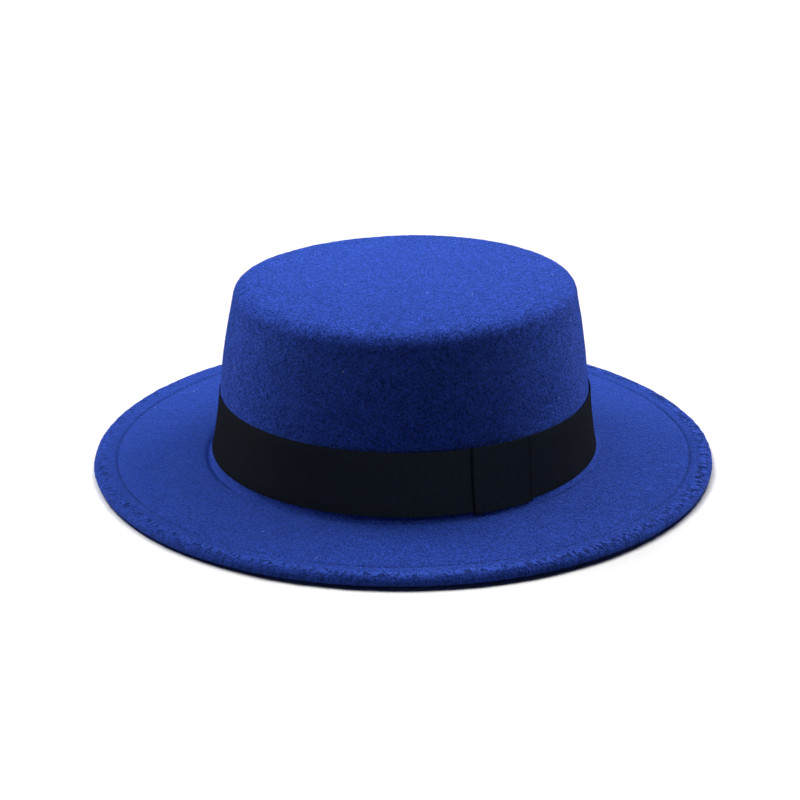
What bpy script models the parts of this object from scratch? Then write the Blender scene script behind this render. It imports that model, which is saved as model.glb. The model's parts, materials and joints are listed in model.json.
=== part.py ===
"""A felt hat with a flat oval crown and a flat brim, its ribbon band and the band's keeper tab.

Lengths are in metres and +Z is up. The hat rests on the plane Z = 0 with its folded hem, and Z runs
through the middle of its oval. X runs from the wearer's forehead (-X) to the back of the head (+X).
"""

import math

import bmesh
import bpy

# The felt body
HEAD_LENGTH = 0.1932  # inside the crown at its foot, forehead to back
HEAD_WIDTH = 0.1654  # inside the crown at its foot, side to side
FELT = 0.0022  # thickness of the pressed felt
CROWN_HEIGHT = 0.0911  # from the top of the brim to the flat top
TAPER_LENGTH = 0.0131  # how far each end of the crown leans in on its way up
TAPER_WIDTH = 0.0106  # how far each side of the crown leans in on its way up
SHOULDER_RADIUS = 0.0101  # outside, where the wall turns into the flat top
SHOULDER_START = math.radians(15)  # how far the wall leans where the shoulder's bend starts
CROWN_DOME = 0.0008  # rise of the flat top towards its middle
SAG_DEPTH = 0.0014  # how far the shoulder has sunk at its lowest place
SAG_BEARING = math.radians(128)  # where on the oval it has sunk, counted from +X
CREASE_RADIUS = 0.0010  # outside, in the crease between crown and brim
BRIM_REACH_ENDS = 0.0607  # from the crown's foot to the brim's edge, front and back
BRIM_REACH_SIDES = 0.0562  # from the crown's foot to the brim's edge, left and right
HEM_DEPTH = 0.0125  # how wide the strip is that is folded under the brim
HEM_GAP = 0.0010  # between the brim and the strip folded under it
SIDE_LIFT = 0.0012  # how far the brim's two long sides stand above the resting plane
REST_ARC = math.radians(25)  # on the oval, either way from X, where the hem lies on that plane
CREASE_DIP = 0.0004  # how far the brim sinks from its edge to the crease
CREASE_TILT = 0.0012  # how much further it sinks on one side, and rises on the other
TILT_BEARING = math.radians(-20)  # where on the oval the crease is highest

# The ribbon band and its keeper tab
RIBBON = 0.0010  # thickness of the ribbed ribbon
BAND_RISE = 0.0018  # from the top of the brim to the band's lower edge
BAND_HEIGHT = 0.0316
TAB_WIDTH = 0.0320
TAB_THICKNESS = 0.0010
TAB_OVERHANG = 0.0005  # how far the tab reaches past both edges of the band
TAB_BEARING = math.radians(291)  # where on the oval the tab's middle is
SEAT_GAP = 0.0003  # between pieces that touch

# Fineness of the loft
SEGMENTS = 60  # around the oval
FOLD_STEPS = 6  # round the folded edge of the brim
CREASE_STEPS = 3
SHOULDER_STEPS = 5
SHARP_ANGLE = math.radians(40)  # between faces that are shaded as an edge

# Heights and half sizes that follow from the dimensions above
HALF_FELT = FELT / 2
FOLD_RADIUS = (HEM_GAP + FELT) / 2
BRIM_TOP = 2 * FELT + HEM_GAP
HAT_HEIGHT = BRIM_TOP + CROWN_HEIGHT
SHOULDER_BASE = HAT_HEIGHT - SHOULDER_RADIUS
FOOT_HALF_LENGTH = HEAD_LENGTH / 2 + FELT
FOOT_HALF_WIDTH = HEAD_WIDTH / 2 + FELT
BAND_FOOT = BRIM_TOP + BAND_RISE
BAND_TOP = BAND_FOOT + BAND_HEIGHT

# The crown's wall from the brim to the shoulder, from its foot upwards.
# height: share of the wall's height. lean: share of the taper that is used up there.
# sag: share of the shoulder's sag.
WALL = [
    {"height": 0.000, "lean": 0.000, "sag": 0.00},
    {"height": 0.069, "lean": 0.100, "sag": 0.00},
    {"height": 0.156, "lean": 0.200, "sag": 0.00},
    {"height": 0.267, "lean": 0.305, "sag": 0.00},
    {"height": 0.412, "lean": 0.400, "sag": 0.00},
    {"height": 0.575, "lean": 0.500, "sag": 0.10},
    {"height": 0.750, "lean": 0.660, "sag": 0.30},
    {"height": 0.900, "lean": 0.835, "sag": 0.60},
    {"height": 1.000, "lean": 1.000, "sag": 1.00},
]

# The brim from the crease outwards.
# reach: share of the way from the crease to the hem's seam. lift: share of the long sides' lift.
# tilt: share of the crease's dip and tilt.
BRIM = [
    {"reach": 1.00, "lift": 0.75, "tilt": 0.00},
    {"reach": 0.66, "lift": 0.40, "tilt": 0.25},
    {"reach": 0.30, "lift": 0.10, "tilt": 0.70},
]

# The flat top from the shoulder inwards.
# size: share of the flat's own size. sag: share of the shoulder's sag.
TOP = [
    {"size": 0.80, "sag": 0.55},
    {"size": 0.45, "sag": 0.15},
]


def smooth_step(low, high, value):
    """0 below low, 1 above high, and an S curve between them."""
    share = min(max((value - low) / (high - low), 0.0), 1.0)
    return share * share * (3 - 2 * share)


def wall_lean(height):
    """Share of the taper that the crown's wall has used up at a height above the resting plane."""
    share = (height - BRIM_TOP) / (SHOULDER_BASE - BRIM_TOP)
    for below, above in zip(WALL, WALL[1:]):
        if share <= above["height"] or above is WALL[-1]:
            step = (share - below["height"]) / (above["height"] - below["height"])
            return below["lean"] + step * (above["lean"] - below["lean"])


def section(half_length, half_width, height, lift=0.0, tilt=0.0, sag=0.0):
    """One oval of a loft, and how far the brim's lift, the crease's tilt and the sag move it."""
    return {
        "half_length": half_length,
        "half_width": half_width,
        "height": height,
        "lift": lift,
        "tilt": tilt,
        "sag": sag,
    }


def wall_section(height, outset, sag=0.0):
    """An oval that runs round the crown's wall, outset from the felt's outer face."""
    lean = wall_lean(height)
    half_length = FOOT_HALF_LENGTH - lean * TAPER_LENGTH + outset
    half_width = FOOT_HALF_WIDTH - lean * TAPER_WIDTH + outset
    return section(half_length, half_width, height, sag=sag)


def vertex_on_oval(oval, angle):
    """The point of a section at a whole step of the oval's angle."""
    side_share = smooth_step(math.sin(REST_ARC), 1.0, abs(math.sin(angle)))
    height = oval["height"]
    height += oval["lift"] * SIDE_LIFT * side_share
    height += oval["tilt"] * (CREASE_TILT * math.cos(angle - TILT_BEARING) - CREASE_DIP)
    height -= oval["sag"] * SAG_DEPTH * max(0.0, math.cos(angle - SAG_BEARING)) ** 2
    return (
        oval["half_length"] * math.cos(angle),
        oval["half_width"] * math.sin(angle),
        height,
    )


def point_on_oval(oval, angle):
    """The point of a section at any angle, on the straight facet between two whole steps."""
    step = 2 * math.pi / SEGMENTS
    before = math.floor(angle / step)
    share = angle / step - before
    start = vertex_on_oval(oval, before * step)
    end = vertex_on_oval(oval, (before + 1) * step)
    return [a + share * (b - a) for a, b in zip(start, end)]


def felt_sections():
    """The middle of the felt, from the hem's inner edge round the brim's fold, up and inwards."""
    edge_length = FOOT_HALF_LENGTH + BRIM_REACH_ENDS
    edge_width = FOOT_HALF_WIDTH + BRIM_REACH_SIDES
    sections = []

    # The strip folded under the brim
    fold_inset = HALF_FELT + FOLD_RADIUS
    for inset in (HEM_DEPTH, (HEM_DEPTH + fold_inset) / 2):
        sections.append(section(edge_length - inset, edge_width - inset, HALF_FELT, lift=1.0))

    # The fold at the brim's edge
    for step in range(FOLD_STEPS + 1):
        turn = math.pi * step / FOLD_STEPS
        inset = fold_inset - FOLD_RADIUS * math.sin(turn)
        height = HALF_FELT + FOLD_RADIUS * (1 - math.cos(turn))
        sections.append(section(edge_length - inset, edge_width - inset, height, lift=1.0))

    # The flat of the brim
    bend_radius = CREASE_RADIUS + HALF_FELT
    crease_height = BRIM_TOP - HALF_FELT
    bend_foot = wall_lean(BRIM_TOP + CREASE_RADIUS)
    crease_length = FOOT_HALF_LENGTH - bend_foot * TAPER_LENGTH - HALF_FELT
    crease_width = FOOT_HALF_WIDTH - bend_foot * TAPER_WIDTH - HALF_FELT
    inner_length = crease_length + bend_radius
    inner_width = crease_width + bend_radius
    for row in BRIM:
        half_length = inner_length + row["reach"] * (edge_length - HEM_DEPTH - inner_length)
        half_width = inner_width + row["reach"] * (edge_width - HEM_DEPTH - inner_width)
        sections.append(section(half_length, half_width, crease_height, row["lift"], row["tilt"]))

    # The crease between the brim and the crown
    for step in range(CREASE_STEPS + 1):
        turn = math.pi / 2 * step / CREASE_STEPS
        outset = bend_radius * (1 - math.sin(turn))
        height = crease_height + bend_radius * (1 - math.cos(turn))
        sections.append(section(crease_length + outset, crease_width + outset, height, tilt=1.0))

    # The crown's wall
    for row in WALL[1:-1]:
        height = BRIM_TOP + row["height"] * (SHOULDER_BASE - BRIM_TOP)
        sections.append(wall_section(height, -HALF_FELT, row["sag"]))

    # The shoulder
    bend_radius = SHOULDER_RADIUS - HALF_FELT
    flat_length = FOOT_HALF_LENGTH - TAPER_LENGTH - SHOULDER_RADIUS
    flat_width = FOOT_HALF_WIDTH - TAPER_WIDTH - SHOULDER_RADIUS
    for step in range(SHOULDER_STEPS + 1):
        turn = SHOULDER_START + (math.pi / 2 - SHOULDER_START) * step / SHOULDER_STEPS
        outset = bend_radius * math.cos(turn)
        height = SHOULDER_BASE + bend_radius * math.sin(turn)
        sections.append(section(flat_length + outset, flat_width + outset, height, sag=1.0))

    # The flat top
    for row in TOP:
        rise = CROWN_DOME * (1 - row["size"] ** 2)
        height = HAT_HEIGHT - HALF_FELT + rise
        half_length = row["size"] * flat_length
        half_width = row["size"] * flat_width
        sections.append(section(half_length, half_width, height, sag=row["sag"]))
    return sections


def band_sections(outset, overhang=0.0):
    """Ovals round the crown between the band's edges, outset from the felt's outer face."""
    foot = BAND_FOOT - overhang
    top = BAND_TOP + overhang
    heights = [foot]
    for row in WALL:
        height = BRIM_TOP + row["height"] * (SHOULDER_BASE - BRIM_TOP)
        if BAND_FOOT < height < BAND_TOP:
            heights.append(height)
    heights.append(top)
    return [wall_section(height, outset) for height in heights]


def loft(name, rows, closed, peak=None):
    """A mesh of quads between rows of points, closed round the oval, with a fan up to a peak."""
    shape = bmesh.new()
    rings = [[shape.verts.new(point) for point in row] for row in rows]
    for lower, upper in zip(rings, rings[1:]):
        for place in range(len(lower) if closed else len(lower) - 1):
            after = (place + 1) % len(lower)
            shape.faces.new((lower[place], lower[after], upper[after], upper[place]))
    if peak is not None:
        top = shape.verts.new(peak)
        last = rings[-1]
        for place in range(len(last)):
            shape.faces.new((last[place], last[(place + 1) % len(last)], top))
    mesh = bpy.data.meshes.new(name)
    shape.to_mesh(mesh)
    shape.free()
    return mesh


def whole_turn():
    """The angles of the oval's steps."""
    return [2 * math.pi * step / SEGMENTS for step in range(SEGMENTS)]


def tab_angles():
    """The angles of the tab's two ends, and of the oval's steps between them."""
    half_length = FOOT_HALF_LENGTH + RIBBON
    half_width = FOOT_HALF_WIDTH + RIBBON
    run = math.hypot(half_length * math.sin(TAB_BEARING), half_width * math.cos(TAB_BEARING))
    start = TAB_BEARING - TAB_WIDTH / 2 / run
    end = TAB_BEARING + TAB_WIDTH / 2 / run
    step = 2 * math.pi / SEGMENTS
    between = [place * step for place in range(math.ceil(start / step), math.floor(end / step) + 1)]
    return [start] + [angle for angle in between if start < angle < end] + [end]


def make_material(name, color, roughness):
    """A plain dielectric surface."""
    material = bpy.data.materials.new(name)
    material.use_nodes = True
    surface = material.node_tree.nodes["Principled BSDF"]
    surface.inputs["Base Color"].default_value = (*color, 1.0)
    surface.inputs["Roughness"].default_value = roughness
    surface.inputs["Metallic"].default_value = 0.0
    material.diffuse_color = (*color, 1.0)
    return material


def make_shell(name, mesh, thickness, material, parent, collection):
    """An object whose wall stands on both sides of its mesh."""
    mesh.materials.append(material)
    mesh.shade_smooth()
    mesh.set_sharp_from_angle(angle=SHARP_ANGLE)
    piece = bpy.data.objects.new(name, mesh)
    piece.parent = parent
    collection.objects.link(piece)
    wall = piece.modifiers.new("wall", "SOLIDIFY")
    wall.thickness = thickness
    wall.offset = 0.0
    wall.use_even_offset = True
    wall.use_quality_normals = True
    return piece


def make_felt_body(material, parent, collection):
    """Crown and brim, pressed in one piece, with the brim's edge folded under."""
    rows = [[vertex_on_oval(oval, angle) for angle in whole_turn()] for oval in felt_sections()]
    peak = (0.0, 0.0, HAT_HEIGHT - HALF_FELT + CROWN_DOME)
    mesh = loft("felt_body", rows, closed=True, peak=peak)
    return make_shell("felt_body", mesh, FELT, material, parent, collection)


def make_hat_band(material, parent, collection):
    """The ribbon, a closed ring round the foot of the crown."""
    outset = SEAT_GAP + RIBBON / 2
    rows = [[vertex_on_oval(oval, angle) for angle in whole_turn()] for oval in band_sections(outset)]
    mesh = loft("hat_band", rows, closed=True)
    return make_shell("hat_band", mesh, RIBBON, material, parent, collection)


def make_band_tab(material, parent, collection):
    """The flat keeper that covers the ribbon's join."""
    outset = SEAT_GAP + RIBBON + SEAT_GAP + TAB_THICKNESS / 2
    ovals = band_sections(outset, TAB_OVERHANG)
    rows = [[point_on_oval(oval, angle) for angle in tab_angles()] for oval in ovals]
    mesh = loft("band_tab", rows, closed=False)
    return make_shell("band_tab", mesh, TAB_THICKNESS, material, parent, collection)


def main():
    for old in list(bpy.data.objects):
        bpy.data.objects.remove(old, do_unlink=True)

    collection = bpy.data.collections.new("flat_brim_fedora")
    bpy.context.scene.collection.children.link(collection)
    hat = bpy.data.objects.new("hat", None)
    collection.objects.link(hat)

    felt = make_material("blue_felt", (0.026, 0.062, 0.325), 0.95)
    ribbon = make_material("black_ribbon", (0.012, 0.013, 0.017), 0.75)
    make_felt_body(felt, hat, collection)
    make_hat_band(ribbon, hat, collection)
    make_band_tab(ribbon, hat, collection)


main()
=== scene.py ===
"""The looks of a blue felt hat with a flat crown, a flat hemmed brim and a black ribbon band."""

import json
import math

import bpy
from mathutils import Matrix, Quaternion, Vector

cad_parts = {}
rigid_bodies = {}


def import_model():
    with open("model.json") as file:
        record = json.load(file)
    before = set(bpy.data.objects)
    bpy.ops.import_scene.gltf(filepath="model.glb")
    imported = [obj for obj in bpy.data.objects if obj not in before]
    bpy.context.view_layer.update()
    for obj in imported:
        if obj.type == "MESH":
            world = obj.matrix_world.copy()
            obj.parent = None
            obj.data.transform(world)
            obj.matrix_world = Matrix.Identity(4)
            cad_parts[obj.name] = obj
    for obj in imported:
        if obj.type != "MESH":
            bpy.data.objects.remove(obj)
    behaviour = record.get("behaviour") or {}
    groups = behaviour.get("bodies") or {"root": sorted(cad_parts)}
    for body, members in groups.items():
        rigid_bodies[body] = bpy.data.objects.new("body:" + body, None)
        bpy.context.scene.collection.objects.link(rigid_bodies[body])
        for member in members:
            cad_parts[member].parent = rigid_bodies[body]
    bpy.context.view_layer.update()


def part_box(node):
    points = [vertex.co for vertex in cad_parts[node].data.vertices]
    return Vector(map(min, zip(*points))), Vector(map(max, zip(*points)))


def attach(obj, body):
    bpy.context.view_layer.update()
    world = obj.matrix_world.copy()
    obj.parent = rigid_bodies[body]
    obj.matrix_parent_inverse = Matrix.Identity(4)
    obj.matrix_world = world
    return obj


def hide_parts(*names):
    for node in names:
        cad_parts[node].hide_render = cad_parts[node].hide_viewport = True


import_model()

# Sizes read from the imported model, in metres
felt_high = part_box("felt_body")[1]
band_low, band_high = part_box("hat_band")
tab_low, tab_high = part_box("band_tab")
EDGE_LENGTH = felt_high.x
EDGE_WIDTH = felt_high.y
BAND_FOOT = band_low.z
BAND_TOP = band_high.z
TAB_FOOT = tab_low.z
TAB_TOP = tab_high.z

# The felt
FELT = 0.0022  # thickness
HEM_DEPTH = 0.0125  # how wide the strip is that is folded under the brim
HEM_GAP = 0.0010  # between the brim and that strip
CROWN_DOME = 0.0008  # rise of the flat top towards its middle
SHOULDER_RADIUS = 0.0101  # outside
SHOULDER_START = math.radians(6)  # how far the wall leans where the shoulder's bend starts
SHOULDER_SQUARENESS = 0.72  # below 1, the shoulder's bend is squarer than a circle's
LEFT_FULLNESS = 0.0012  # how far the crown stands out past its oval on the picture's left
TAPER_LENGTH = 0.0131  # how far each end of the crown leans in on its way up
TAPER_WIDTH = 0.0106  # how far each side of the crown leans in on its way up
CREASE_RADIUS = 0.0022  # outside, between brim and crown
PRESS_DEPTH = 0.0016  # of the groove at the crown's foot, where it is deepest
PRESS_BEARING = math.radians(225)  # where on the oval that is, counted from +X
SIDE_LIFT = 0.0012  # how far the brim's two long sides stand above the resting plane
REST_ARC = math.radians(25)  # on the oval, either way from X, where the hem lies on that plane
CREASE_DIP = 0.0004  # how far the brim sinks from its edge to the crease
CREASE_TILT = 0.0012  # how much further it sinks on one side, and rises on the other
TILT_BEARING = math.radians(-20)  # where on the oval the crease is highest
SEAM_INSET = 0.0117  # from the brim's edge to the hem's stitches
SEAM_GROOVE = 0.0006  # how deep the stitches are pulled in
FRONT_DROP = 0.0009  # how much lower the brim stands on the camera's side than on the far side

# Where the shoulder has sunk
SAGS = [
    {"depth": 0.0014, "bearing": math.radians(128), "power": 2},
    {"depth": 0.0028, "bearing": math.radians(240), "power": 3},
]

# The felt's dents: the size and depth of each, in metres, and the vertex group that has them
DENTS = [
    {"name": "swell", "group": "everywhere", "size": 0.030, "depth": 0.00050},
    {"name": "dents", "group": "everywhere", "size": 0.0065, "depth": 0.00018},
    {"name": "crumple", "group": "rough", "size": 0.0028, "depth": 0.00065},
]
LIP_SPAN = (0.955, 0.985)  # shares of the brim's oval over which the fold's crumples set in
SHOULDER_RISE = 0.012  # height over which the shoulder's crumples set in
SHOULDER_ROUGHNESS = 0.6  # share of the fold's crumples that the shoulder has
FLAT_ROUGHNESS = 0.2  # share of them that the flat felt has
CLEAR_SPAN = (0.0018, 0.0034)  # heights over which crumples and nap set in above the resting plane

# The ribbon, its keeper tab and the hem's stitches
RIBBON = 0.0010  # from the ribbon's seat to its outer face
RIBBON_SHEET = 0.0004  # thickness of the ribbon itself
RIBBON_ROUND = 0.00016  # of its edges
SEAT_GAP = 0.0003  # between pieces that touch
FOOT_SWELL = 0.00085  # how far the felt fills out behind the ribbon
SWELL_BELOW = 0.008  # under the ribbon's upper edge, where that filling starts to thin out
SWELL_ABOVE = 0.004  # over that edge, where it ends
FOOT_LEAN = 0.0004  # how far the wall has leaned in where the ribbon starts
TAB_WIDTH = 0.0320
TAB_THICKNESS = 0.0010
TAB_ROUND = 0.00042  # of its edges
TAB_BEARING = math.radians(291)  # where on the oval the tab's middle is
TAB_EDGE_SHADE = 0.05  # share of the tab's width at each end that gets painted shade, for the shade in the gap at the tab's edges
TAB_CROWDING = 0.09  # how far the mesh's columns crowd towards the tab's ends
STITCH_LENGTH = 0.0024
STITCH_PITCH = 0.0036
STITCH_RADIUS = 0.00026
STITCH_FLATNESS = 0.8  # its height as a share of its width

# The felt's loose fibres
NAP_DENSITY = 900000.0  # to the square metre, where the felt is roughest
NAP_RADIUS = 0.00005
NAP_SHORT = 0.0003
NAP_LONG = 0.0010
NAP_TILT = math.radians(65)
NAP_SEED = 11

# Heights and half sizes that follow
HALF_FELT = FELT / 2
FOLD_RADIUS = (HEM_GAP + FELT) / 2
BRIM_TOP = 2 * FELT + HEM_GAP
BRIM_MIDDLE = BRIM_TOP - HALF_FELT
HAT_HEIGHT = felt_high.z - CROWN_DOME
SHOULDER_BASE = HAT_HEIGHT - SHOULDER_RADIUS
FOOT_LENGTH = band_high.x - RIBBON - SEAT_GAP + FOOT_LEAN
FOOT_WIDTH = band_high.y - RIBBON - SEAT_GAP + FOOT_LEAN
SEAM_LENGTH = EDGE_LENGTH - SEAM_INSET
SEAM_WIDTH = EDGE_WIDTH - SEAM_INSET

# Colours, as linear red, green and blue
FELT_DARK = (0.0080, 0.028, 0.21)
FELT_LIGHT = (0.0490, 0.124, 0.77)
LINT_COLOR = (0.50, 0.56, 0.75)
THREAD_DARK = (0.006, 0.014, 0.08)
THREAD_LIGHT = (0.016, 0.034, 0.16)
RIBBON_DARK = (0.0043, 0.0061, 0.0102)
RIBBON_LIGHT = (0.0102, 0.0141, 0.0218)
# painted shade for the keeper tab's two ends
RIBBON_EDGE_SHADE = (0.0022, 0.0028, 0.0042)
FLOOR_WHITE = 0.95
FLOOR_BOUNCE = 0.60  # what the floor throws back on to the hat near it
FLOOR_BOUNCE_FAR = 0.04  # and further off
BOUNCE_SPAN = (0.17, 0.27)  # distances from the hat's middle between which the bounce falls off

# The felt's grain: each layer of noise, and its shares of the relief and of the tone
GRAIN = {
    "tufts": {"scale": 1120.0, "detail": 3.0, "roughness": 0.65, "distortion": 1.2},
    "wrinkles": {"scale": 300.0, "detail": 2.0, "roughness": 0.55, "distortion": 1.6},
    "fibres": {"scale": 2400.0, "detail": 2.0, "roughness": 0.6, "distortion": 0.4},
    "clouds": {"scale": 60.0, "detail": 3.0, "roughness": 0.55, "distortion": 0.0},
    "curls": {"scale": 430.0, "detail": 1.5, "roughness": 0.5, "distortion": 1.4},
}
HEIGHT_SHARES = {"tufts": 0.80, "wrinkles": 0.70, "fibres": 0.22}
# the tone follows the relief, so the pits get painted shade and the tufts and strands painted light,
# over the wool's own uneven tone
TONE_SHARES = {"tufts": 0.62, "wrinkles": 0.12, "fibres": 0.17, "clouds": 0.03}
STRAND_WIDTH = 0.045  # of a curly fibre, in the noise that draws it
STRAND_HEIGHT = 0.10
STRAND_TONE = 0.14
LINT_SCALE = 105.0
LINT_SIZE = 0.034  # share of a cell of that scale
LINT_RARITY = 0.45  # share of the cells that have none
FELT_RELIEF = 0.0030  # metres
TONE_MIDDLE = 0.5
TONE_SPAN = (0.39, 0.59)  # tones of the felt's pits and of its raised tufts, partly painted shade and painted light

# How strongly the tufts show, and where one strength turns into another. The wall and shoulder get the
# strongest painted shade and light in their grain, as grazing light gives them
BRIM_CONTRAST = 0.90
BRIM_CONTRAST_FAR = 0.50
WALL_CONTRAST = 1.7
TOP_CONTRAST = 0.95
CROWN_SPAN = (0.010, 0.030)  # heights between brim and crown
EDGE_SPAN = (0.66, 0.93)  # shares of the top's oval between its middle and its edge
FAR_SPAN = (-0.11, 0.0)  # along Y, between the brim's near side and the rest of it

# The lines pressed round the crown's foot and along the seam, both darkened as painted shade in their
# grooves
PRESS_LINE = 0.0040  # from the oval of the crown's foot
PRESS_LINE_WIDTH = 0.0022
PRESS_LINE_SHADE = -0.16
PRESS_LINE_HEIGHT = -0.22
FRONT_SPAN = (-0.080, -0.045)  # along Y, where the line at the crown's foot dies out
# painted shade along the seam's groove
SEAM_SHADE = -0.045

# Creases over the brim's fold: how many, how long, and on which side they are deepest. The fold gets
# painted shade, which the creases' ridges partly lift with painted light
CREASE_COUNT = 85.0
CREASE_STRETCH = 46.0
CREASE_BEARING = math.radians(45)
CREASE_RIDGE_LIGHT = 0.30
FOLD_SHADE = -0.21
PIT_SPAN = (0.38, 0.54)
FOLD_INNER_SPAN = (0.948, 0.966)  # shares of the brim's oval
FOLD_OUTER_SPAN = (0.976, 0.992)
FOLD_OUTER_EASE = 0.75
FOLD_SIDE_SHARE = 0.35

# The ribbon's ribs
RIB_COUNT = 1180.0
RIB_RELIEF = 0.00008

# The camera, which stands where the photograph was taken from, and the lights
CAMERA_DISTANCE = 0.7795
CAMERA_HEIGHT = 0.3766
CAMERA_AZIMUTH = -0.156
CAMERA_AIM = (-0.0028, 0.0004, 0.0294)
CAMERA_ROLL = 0.011
CAMERA_LENS = 74.75
WORLD_FILL = 0.004
FLOOR_SIZE = 5.0
FLOOR_LIGHT_SPREAD = math.radians(28)
FLOOR_LIGHTS = [
    {"name": "floor light left", "heading": (0.42, -0.62, -1.0), "strength": 2.65},
    {"name": "floor light right", "heading": (-0.34, -0.62, -1.0), "strength": 2.1},
]
OVERHEAD_PANEL = {
    "name": "overhead",
    "place": (0.0, 0.055, 0.42),
    "aim": (0.0, 0.055, 0.0),
    "size": (0.45, 0.33),
    "power": 2.35,
}
SIDE_AIM = (0.0, 0.0, 0.05)
SIDE_SIZE = (0.6, 0.8)
BACK_PANELS = [
    {"name": "left back", "place": (-1.2, 0.9, 0.45), "power": 20.0},
    {"name": "right back", "place": (1.2, 0.9, 0.45), "power": 13.5},
]
EDGE_PANELS = [
    {"name": "left edge", "place": (-1.2, 0.3, 0.45), "power": 6.0},
    {"name": "right edge", "place": (1.2, 0.3, 0.45), "power": 13.0},
]
FELT_FILL = {
    "name": "felt fill",
    "place": (-0.25, -1.6, 0.50),
    "aim": (0.0, 0.0, 0.03),
    "size": (1.0, 0.8),
    "power": 1.3,
}
RIBBON_FILL = {
    "name": "ribbon fill",
    "place": (0.10, -1.65, 0.7),
    "aim": (0.0, 0.0, 0.03),
    "size": (0.8, 0.8),
    "power": 16.0,
}

# Fineness of the meshes
CAGE_STEPS = 72  # round the oval of the felt, before it is smoothed
FOLD_STEPS = 6
CREASE_STEPS = 3
SHOULDER_STEPS = 7
RIBBON_STEPS = 240
RIBBON_ROWS = 6
TAB_COLUMNS = 24
TAB_ROWS = 20
SHARP_ANGLE = math.radians(50)  # between faces that are shaded and rounded as an edge

# The strip under the brim: distances in from the brim's edge
HEM_INSETS = (HEM_DEPTH, HEM_DEPTH - 0.0012, 0.0065)

# The brim over the hem: distance inwards from the stitches, and shares of the groove and the lift
SEAM = [
    {"inwards": -0.0062, "groove": 0.0, "lift": 1.00},
    {"inwards": -0.0020, "groove": 0.0, "lift": 0.85},
    {"inwards": -0.0008, "groove": 0.6, "lift": 0.82},
    {"inwards": 0.0000, "groove": 1.0, "lift": 0.80},
    {"inwards": 0.0008, "groove": 0.7, "lift": 0.78},
    {"inwards": 0.0022, "groove": 0.2, "lift": 0.75},
]

# The brim from the seam to the crease: reach, lift and tilt as shares, as the felt's solid has them
BRIM = [
    {"reach": 0.82, "lift": 0.60, "tilt": 0.10},
    {"reach": 0.56, "lift": 0.30, "tilt": 0.35},
    {"reach": 0.30, "lift": 0.10, "tilt": 0.70},
]

# The groove at the crown's foot: distance outwards from the crease, and shares of groove and tilt
PRESS = [
    {"outwards": 0.0036, "press": 0.06, "tilt": 0.92},
    {"outwards": 0.0023, "press": 0.14, "tilt": 0.95},
    {"outwards": 0.0014, "press": 0.82, "tilt": 0.97},
]

# The crown's wall: height and lean as shares of the wall's height and of the crown's taper
WALL = [
    {"height": 0.000, "lean": 0.000, "sag": 0.00},
    {"height": 0.069, "lean": 0.100, "sag": 0.00},
    {"height": 0.156, "lean": 0.200, "sag": 0.00},
    {"height": 0.267, "lean": 0.305, "sag": 0.00},
    {"height": 0.412, "lean": 0.400, "sag": 0.00},
    {"height": 0.575, "lean": 0.500, "sag": 0.10},
    {"height": 0.750, "lean": 0.660, "sag": 0.30},
    {"height": 0.900, "lean": 0.835, "sag": 0.60},
    {"height": 1.000, "lean": 1.000, "sag": 1.00},
]
FULL_SPAN = (BAND_TOP - 0.010, BAND_TOP + 0.012)  # heights over which the crown's fullness sets in

# The flat top from the shoulder inwards
TOP = [
    {"size": 0.92, "sag": 0.75},
    {"size": 0.62, "sag": 0.32},
    {"size": 0.30, "sag": 0.06},
]


def smooth_step(low, high, value):
    """0 below low, 1 above high, and an S curve between them."""
    share = min(max((value - low) / (high - low), 0.0), 1.0)
    return share * share * (3 - 2 * share)


def wall_lean(height):
    """Share of the taper that the crown's wall has used up at a height."""
    share = (height - BRIM_TOP) / (SHOULDER_BASE - BRIM_TOP)
    for below, above in zip(WALL, WALL[1:]):
        if share <= above["height"] or above is WALL[-1]:
            step = (share - below["height"]) / (above["height"] - below["height"])
            return below["lean"] + step * (above["lean"] - below["lean"])


def foot_swell(height):
    """How far the felt fills out behind the ribbon, which takes up the solids' gap there."""
    return FOOT_SWELL * (1.0 - smooth_step(BAND_TOP - SWELL_BELOW, BAND_TOP + SWELL_ABOVE, height))


def wall_oval(height, outset):
    """Half length and half width of an oval outset from the crown's outer face."""
    lean = wall_lean(height)
    return (
        FOOT_LENGTH - lean * TAPER_LENGTH + outset,
        FOOT_WIDTH - lean * TAPER_WIDTH + outset,
    )


def section(half_length, half_width, height, lift=0.0, tilt=0.0, sag=0.0, press=0.0, full=0.0):
    """One oval of the felt, and its shares of the brim's lift, the crease's tilt and so on."""
    return {
        "half_length": half_length,
        "half_width": half_width,
        "height": height,
        "lift": lift,
        "tilt": tilt,
        "sag": sag,
        "press": press,
        "full": full,
    }


def settled_height(oval, angle):
    """The height of a section's point once the felt has taken its own shape."""
    side_share = smooth_step(math.sin(REST_ARC), 1.0, abs(math.sin(angle)))
    height = oval["height"]
    rise = SIDE_LIFT if math.sin(angle) > 0 else SIDE_LIFT - FRONT_DROP
    height += oval["lift"] * rise * side_share
    height += oval["tilt"] * (CREASE_TILT * math.cos(angle - TILT_BEARING) - CREASE_DIP)
    for sag in SAGS:
        share = max(0.0, math.cos(angle - sag["bearing"])) ** sag["power"]
        height -= oval["sag"] * sag["depth"] * share
    height -= oval["press"] * PRESS_DEPTH * max(0.0, math.cos(angle - PRESS_BEARING)) ** 0.5
    return height


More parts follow.
